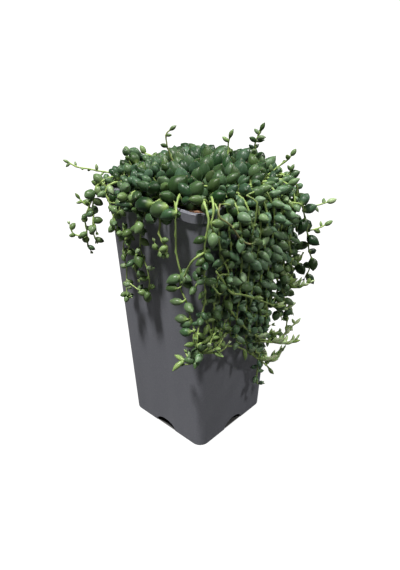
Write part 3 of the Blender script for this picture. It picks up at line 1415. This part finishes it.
@dataclass
class Plant:
    """All the shoots, each a stem with its leaves, and the canopy of leaves that covers the mound."""

    canopy: Canopy = field(default_factory=Canopy)
    ring_step: float = 1.9 * MM
    tip_radius: float = 0.38
    node_swell: float = 1.35
    kink: float = 0.35 * MM
    leaf_sunk: float = 0.3 * MM
    give: float = 0.35 * MM
    feather_length: float = 20 * MM
    feather_leaves: int = 14
    seed: int = 5
    tries: int = 3400
    crowd: Crowd = field(default_factory=Crowd)
    stems: dict[str, list[Stem]] = field(default_factory=dict)
    joins: list[tuple[str, Stem]] = field(default_factory=list)
    leaves: dict[str, list[Leaf]] = field(default_factory=dict)

    def leaf_balls(self, leaf: Leaf) -> list[tuple[Vector, float]]:
        """Balls that fill a leaf."""
        places = ((0.28, 0.72), (0.5, 0.95), (0.74, 0.62))
        return [(leaf.base + leaf.direction * leaf.length * share, leaf.width / 2 * size) for share, size in places]

    def make_leaf(
        self, base: Vector, direction: Vector, length: float, shoot: Shoot, rng: random.Random, ripe: float = 1
    ) -> Leaf:
        """One leaf with its own small differences.

        Args:
            base: Where it joins the stem.
            direction: Where it points.
            length: Its length.
            shoot: The shoot that sets its looks.
            rng: The source of its differences.
            ripe: How much of the shoot's bloom it has.

        Returns:
            The leaf.
        """
        plump = shoot.plump * rng.uniform(0.82, 1.18)
        bend = direction.cross(any_way(rng)).normalized()
        middles = shoot.lime, shoot.bloom * ripe, shoot.fresh
        growth = Growth(*(min(1, max(0, rng.gauss(*pair))) for pair in zip(middles, (0.07, 0.18, 0.25))))
        shape = LeafShape.SPEAR if plump < 0.5 else shoot.shape
        start = base - direction * self.leaf_sunk
        return Leaf(start, direction, length, length * plump, shape, bend * length * rng.uniform(0.01, 0.07), growth)

    def lay(self, name: str, shoot: Shoot, owner: int) -> None:
        """Lay a shoot's stem and those of its twigs, with kinks and swellings where leaves join.

        Args:
            name: The piece's name.
            shoot: The shoot.
            owner: Its number in the crowd.
        """
        route = smooth_route(shoot.route, self.ring_step)
        rng = random.Random(f"{name}{shoot.route[-1]}")
        every = max(2, round(shoot.pitch * MM / self.ring_step))
        radii = []
        for index, point in enumerate(route):
            share = index / len(route)
            radius = shoot.thick * (1 - share) + self.tip_radius * share
            at_node = index % every == 0 and 0 < index
            radii.append(radius * MM * (self.node_swell if at_node else 1))
            if at_node:
                point += Vector((rng.uniform(-1, 1), rng.uniform(-1, 1), 0)) * self.kink
        root, tip = Growth(shoot.green + 0.2, shoot.old), Growth(shoot.green, shoot.old)
        self.stems.setdefault(name, []).append(Stem(route, radii[:-1], root, tip))
        self.crowd.add([(point, shoot.thick * MM) for point in route], owner)
        for twig in shoot.twigs:
            self.lay(name, twig, owner)
            self.join(name, twig, route, root)

    def join(self, name: str, twig: Shoot, route: list[Vector], growth: Growth) -> None:
        """Bridge the gap between a twig's root and the stem that carries it, if they are apart.

        Args:
            name: The piece's name.
            twig: The twig.
            route: The points of the stem.
            growth: The looks of the join.
        """
        start = Vector(twig.route[0]) * MM
        nearest = min(route, key=lambda point: (point - start).length)
        if (nearest - start).length > 1 * MM:
            middle = nearest.lerp(start, 0.5) + UP * 0.5 * MM
            line = geometry.interpolate_bezier(nearest, middle, middle, start, 5)
            self.joins.append((name, Stem(line, [twig.thick * MM] * 4, growth, growth)))

    def leaf_out(self, name: str, shoot: Shoot, owner: int) -> None:
        """Grow the leaves of a shoot and of its twigs, each turned to where it has room.

        Args:
            name: The piece's name.
            shoot: The shoot.
            owner: Its number in the crowd.
        """
        rng = random.Random(f"{name}{shoot.route[0]}")
        route = smooth_route(shoot.route, self.ring_step)
        step = (route[1] - route[0]).length
        every = max(2, round(shoot.pitch * MM / self.ring_step))
        grown = self.leaves.setdefault(name, [])
        start = any_way(rng)
        places = [index for index in range(every, len(route) - 1, every) if index * step >= shoot.bare * MM]
        for height, count in shoot.tufts:
            nearest = min(range(1, len(route) - 1), key=lambda index: abs(route[index].z - height * MM))
            places += [min(len(route) - 2, nearest + number % 2) for number in range(count)]
        if shoot.tip is Tip.FEATHER:
            places = [index for index in places if (len(route) - index) * step > 0.8 * self.feather_length]
        for order, index in enumerate(places, 1):
            share = index / len(route)
            along = (route[index + 1] - route[index - 1]).normalized()
            side = along.cross(start).normalized()
            length = shoot.leaf * MM * (1.22 - 0.45 * share) * rng.uniform(0.8, 1.15)
            for spare, shrink in itertools.product((0, 30, -30, 60, -60, 90, -90, 130, -130, 180), (1, 0.82)):
                radial = Matrix.Rotation(math.radians(order * GOLDEN_ANGLE + spare), 3, along) @ side
                direction = (radial * 0.9 + along * rng.uniform(0.1, 0.7)).normalized()
                leaf = self.make_leaf(route[index], direction, length * shrink, shoot, rng, min(1, 0.35 + share))
                if self.crowd.free(self.leaf_balls(leaf), owner, self.give):
                    self.crowd.add(self.leaf_balls(leaf), owner)
                    grown.append(leaf)
                    break
        self.end_leaves(grown, shoot, route, owner, rng)
        for twig in shoot.twigs:
            self.leaf_out(name, twig, owner)

    def end_leaves(
        self, grown: list[Leaf], shoot: Shoot, route: Sequence[Vector], owner: int, rng: random.Random
    ) -> None:
        """Grow the leaves that end a shoot.

        Args:
            grown: The leaves of its piece, which gains them.
            shoot: The shoot.
            route: Its stem's points.
            owner: Its number in the crowd.
            rng: The source of small differences.
        """
        along = (route[-1] - route[-2]).normalized()
        young = replace(
            shoot, plump=0.32, lime=min(0.9, shoot.lime + 0.35), bloom=0.1, fresh=shoot.lime + 0.35,
            shape=LeafShape.SPEAR,
        )
        if shoot.tip is Tip.LEAF:
            grown.append(self.make_leaf(route[-2], along, shoot.leaf * MM, shoot, rng))
        elif shoot.tip is Tip.BUD:
            for turn in (0, 120, 240):
                side = Matrix.Rotation(math.radians(turn), 3, along) @ along.orthogonal().normalized()
                direction = (along + side * 0.45).normalized()
                grown.append(self.make_leaf(route[-1] - along * 0.5 * MM, direction, 2.6 * MM, young, rng))
        else:
            for number in range(self.feather_leaves):
                share = 1 - number / self.feather_leaves
                index = len(route) - 2 - round(share * self.feather_length / (route[1] - route[0]).length)
                if index < 1:
                    continue
                forward = (route[index + 1] - route[index]).normalized()
                side = forward.cross(UP).normalized() * (1 if number % 2 else -1)
                direction = forward * rng.uniform(0.35, 0.9) + UP * rng.uniform(0.3, 1) + side * rng.uniform(0.2, 0.8)
                direction.normalize()
                length = (4.8 + 4.2 * share) * MM * rng.uniform(0.85, 1.15)
                grown.append(self.make_leaf(route[index], direction, length, young, rng))
            grown.append(self.make_leaf(route[-2], along, 4 * MM, young, rng))
        for leaf in grown[-2:]:
            self.crowd.add(self.leaf_balls(leaf), owner)

    def cover(self) -> None:
        """Cover the mound, each leaf on a short stalk from the nearest stem."""
        rng = random.Random(self.seed)
        points = np.array([point for stems in self.stems.values() for stem in stems for point in stem.line])
        names = [name for name, stems in self.stems.items() for stem in stems for _ in stem.line]
        for depth in self.canopy.layers:
            placed: list[Vector] = []
            for _ in range(self.tries):
                x, y = rng.uniform(-50, 50), rng.uniform(-50, 50)
                top = self.canopy.surface(x, y)
                patch = self.canopy.patch(x + rng.uniform(-5, 5), y + rng.uniform(-5, 5))
                spacing = patch.leaf * self.canopy.crowding
                if top is None or top.z + depth < self.canopy.lowest:
                    continue
                if any((top - other).length < spacing for other in placed):
                    continue
                looks = Shoot(
                    ((0, 0, 0),), plump=patch.plump, lime=patch.lime, bloom=patch.bloom, fresh=patch.fresh,
                    shape=rng.choice((LeafShape.TEAR, LeafShape.TEAR, LeafShape.BEAD)),
                )
                middle = (top + UP * depth) * MM
                away = Vector((x, y, 0)).normalized()
                aside = Vector((-away.y, away.x, 0))
                lean = min(1, max(0, square_reach(Vector((x, y, 0))) - 20) / 22)
                length = patch.leaf * MM * rng.triangular(0.65, 1.3, 0.9)
                for _ in range(8):
                    direction = away * (0.1 + 0.6 * lean) + UP * (1 - 0.85 * lean)
                    direction += aside * rng.uniform(-1, 1) * (0.45 + 0.5 * lean) + away * rng.uniform(-0.5, 0.5)
                    direction.normalize()
                    leaf = self.make_leaf(middle - direction * length * 0.5, direction, length, looks, rng)
                    if self.crowd.free(self.leaf_balls(leaf), -1, self.give * 1.6):
                        break
                    length *= 0.95
                else:
                    continue
                nearest = int(np.argmin(np.linalg.norm(points - np.array(leaf.base), axis=1)))
                name = names[nearest]
                placed.append(top)
                self.crowd.add(self.leaf_balls(leaf), -1)
                self.leaves[name].append(leaf)
                self.stalk(name, Vector(points[nearest]), leaf)

    def stalk(self, name: str, start: Vector, leaf: Leaf) -> None:
        """Join a leaf to its stem with a thin curved stalk, unless it already touches.

        Args:
            name: The piece's name.
            start: Where the stalk leaves the stem.
            leaf: The leaf.
        """
        end = leaf.base + leaf.direction * self.leaf_sunk * 2
        if (end - start).length < 1.5 * MM:
            return
        middle = start.lerp(end, 0.5) - UP * 1.0 * MM
        line = geometry.interpolate_bezier(start, middle, end - leaf.direction * 2 * MM, end, 5)
        growth = Growth(0.5, 0.1)
        self.stems[name].append(Stem(line, [0.5 * MM] * 4, growth, growth))

    def build(self) -> None:
        """Lay, leaf out and cover the plant, then make its pieces."""
        owners = {name: number for number, name in enumerate(SHOOTS)}
        for name, shoot in SHOOTS.items():
            self.lay(name, shoot, owners[name])
            self.leaves[name] = []
        for name, shoot in SHOOTS.items():
            if not name.startswith("crown"):
                self.leaf_out(name, shoot, owners[name])
        self.crowd.add([(Vector(place) * MM, radius * MM) for *place, radius in self.canopy.clearings], -2)
        self.cover()
        for name, join in self.joins:
            self.stems[name].append(join)
        leaf_skin, stem_skin = LeafSkin().material(), StemSkin().material()
        for name in SHOOTS:
            settle_piece(add_piece(f"{name}_stem", stem_mesh(self.stems[name]), stem_skin), "stem", name)
            if self.leaves[name]:
                settle_piece(add_piece(f"{name}_leaves", leaf_mesh(self.leaves[name]), leaf_skin), "leaf", name)
        log.info("the plant has %d leaves", sum(map(len, self.leaves.values())))


# ---------------------------------------------------------------- the studio


@dataclass(frozen=True)
class Lamp:
    """A far lamp: its name, where it hangs round the axis, its angle over the floor, its light, and how wide it
    looks, in degrees. A wide lamp has soft shadows."""

    name: str
    heading: float
    height: float
    strength: float
    spread: float
    colour: Colour = (1, 0.985, 0.95)

    def hang(self) -> None:
        """Hang the lamp."""
        lamp = bpy.data.lights.new(self.name, "SUN")
        lamp.angle, lamp.energy, lamp.color = math.radians(self.spread), self.strength, self.colour
        hung = bpy.data.objects.new(self.name, lamp)
        rise = math.radians(self.height)
        away = heading_vector(self.heading) * math.cos(rise) + UP * math.sin(rise)
        hung.matrix_world = Matrix.Translation(away) @ away.to_track_quat("Z", "Y").to_matrix().to_4x4()
        bpy.context.scene.collection.objects.link(hung)


@dataclass
class Studio:
    """A plain pale floor, weak light all round, a high lamp, weaker ones at the side and behind, and the camera."""

    eye: Colour = (0.1917, -0.2034, 0.2377)
    azimuth: float = 42.99
    elevation: float = 28.16
    roll: float = -0.28
    lens: float = 34.1
    lamps: tuple[Lamp, ...] = (
        Lamp("key_lamp", -99, 72, 5.2, 7),
        Lamp("side_lamp", -8, 58, 1.35, 5),
        Lamp("back_lamp", 78, 40, 1.6, 14),
    )
    sky: float = 0.07
    backdrop: float = 1.1
    floor_half: float = 60

    def camera(self) -> None:
        """Stand the camera and look through it."""
        data = bpy.data.cameras.new("studio_camera")
        data.lens = self.lens
        camera = bpy.data.objects.new("studio_camera", data)
        turn = Matrix.Rotation(math.radians(self.azimuth), 4, "Z")
        tilt = Matrix.Rotation(math.radians(90 - self.elevation), 4, "X")
        roll = Matrix.Rotation(math.radians(self.roll), 4, "Z")
        camera.matrix_world = Matrix.Translation(self.eye) @ turn @ tilt @ roll
        data.clip_start, data.clip_end = 0.01, 50
        bpy.context.scene.collection.objects.link(camera)
        bpy.context.scene.camera = camera

    def lights(self) -> None:
        """Light the room evenly, white where it is seen, and hang the lamps."""
        world = bpy.data.worlds.new("studio_light")
        world.use_nodes = True
        background = world.node_tree.nodes["Background"]
        background.inputs["Color"].default_value = (0.96, 0.98, 1, 1)
        seen = world.node_tree.nodes.new("ShaderNodeLightPath").outputs["Is Camera Ray"]
        strength = world.node_tree.nodes.new("ShaderNodeMapRange")
        strength.inputs["To Min"].default_value = self.sky
        strength.inputs["To Max"].default_value = self.backdrop
        world.node_tree.links.new(seen, strength.inputs["Value"])
        world.node_tree.links.new(strength.outputs["Result"], background.inputs["Strength"])
        bpy.context.scene.world = world
        for lamp in self.lamps:
            lamp.hang()

    def floor(self) -> None:
        """Lay the floor."""
        bm = bmesh.new()
        bmesh.ops.create_grid(bm, x_segments=8, y_segments=8, size=self.floor_half)
        add_piece("studio_floor", bm, FloorFinish().material())

    def build(self) -> None:
        """Set up the studio."""
        bpy.context.scene.view_settings.view_transform = "Standard"
        self.camera()
        self.lights()
        self.floor()


def main() -> None:
    """Build every piece in order."""
    logging.basicConfig(level=logging.INFO, format="%(message)s")
    noise.seed_set(NOISE_SEED)
    Studio().build()
    Pot().build()
    PottingMix().build()
    BarkChips().build()
    Plant().build()


if __name__ == "__main__":
    main()
